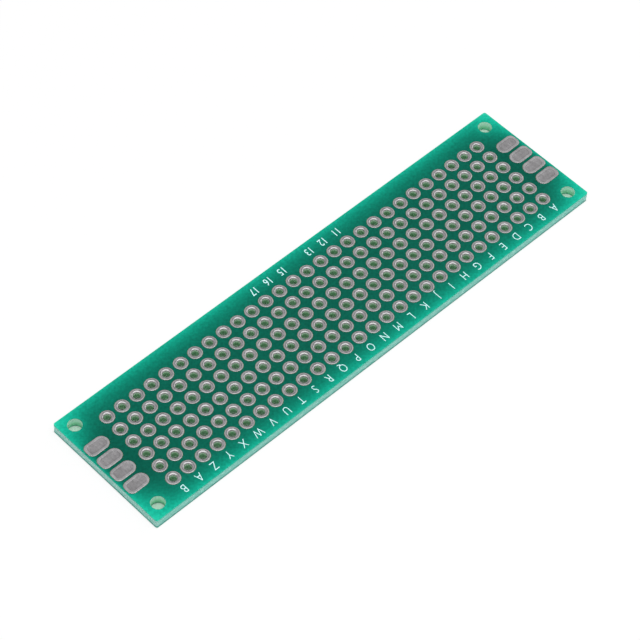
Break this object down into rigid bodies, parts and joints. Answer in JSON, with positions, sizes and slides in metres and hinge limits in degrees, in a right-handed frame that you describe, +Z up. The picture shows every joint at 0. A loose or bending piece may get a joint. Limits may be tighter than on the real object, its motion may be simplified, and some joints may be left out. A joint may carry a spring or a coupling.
{
  "type": "prototype board",
  "caption": "Long narrow double-sided prototype board: green mask over pale laminate, a grid of tinned plated holes, wide end pads and drilled corners.",
  "frame": {"origin": "middle of the board's outline, on the plane of the underside's pads, on which it lies", "axes": "+X along the board towards column 1, +Y across it away from row 1's edge, +Z up out of the top face"},
  "size_m": [0.08, 0.02, 0.0017],
  "materials": {
    "laminate": "fine sawn glass-fibre laminate",
    "solder_mask": "smooth satin-gloss lacquer",
    "tinned_copper": "satin tin"
  },
  "bodies": {
    "root": {"rigid_core": "laminate", "solder_mask_top": "solder_mask", "solder_mask_bottom": "solder_mask", "plated_holes_column_1": "tinned_copper", "plated_holes_column_2": "tinned_copper", "plated_holes_column_3": "tinned_copper", "plated_holes_column_4": "tinned_copper", "plated_holes_column_5": "tinned_copper", "plated_holes_column_6": "tinned_copper", "plated_holes_column_7": "tinned_copper", "plated_holes_column_8": "tinned_copper", "plated_holes_column_9": "tinned_copper", "plated_holes_column_10": "tinned_copper", "plated_holes_column_11": "tinned_copper", "plated_holes_column_12": "tinned_copper", "plated_holes_column_13": "tinned_copper", "plated_holes_column_14": "tinned_copper", "plated_holes_column_15": "tinned_copper", "plated_holes_column_16": "tinned_copper", "plated_holes_column_17": "tinned_copper", "plated_holes_column_18": "tinned_copper", "plated_holes_column_19": "tinned_copper", "plated_holes_column_20": "tinned_copper", "plated_holes_column_21": "tinned_copper", "plated_holes_column_22": "tinned_copper", "plated_holes_column_23": "tinned_copper", "plated_holes_column_24": "tinned_copper", "plated_holes_column_25": "tinned_copper", "plated_holes_column_26": "tinned_copper", "plated_holes_column_27": "tinned_copper", "plated_holes_column_28": "tinned_copper", "right_end_pad_top_1": "tinned_copper", "right_end_pad_top_2": "tinned_copper", "right_end_pad_top_3": "tinned_copper", "right_end_pad_top_4": "tinned_copper", "right_end_pad_bottom_1": "tinned_copper", "right_end_pad_bottom_2": "tinned_copper", "right_end_pad_bottom_3": "tinned_copper", "right_end_pad_bottom_4": "tinned_copper", "left_end_pad_top_1": "tinned_copper", "left_end_pad_top_2": "tinned_copper", "left_end_pad_top_3": "tinned_copper", "left_end_pad_top_4": "tinned_copper", "left_end_pad_bottom_1": "tinned_copper", "left_end_pad_bottom_2": "tinned_copper", "left_end_pad_bottom_3": "tinned_copper", "left_end_pad_bottom_4": "tinned_copper"}
  },
  "joints": []
}
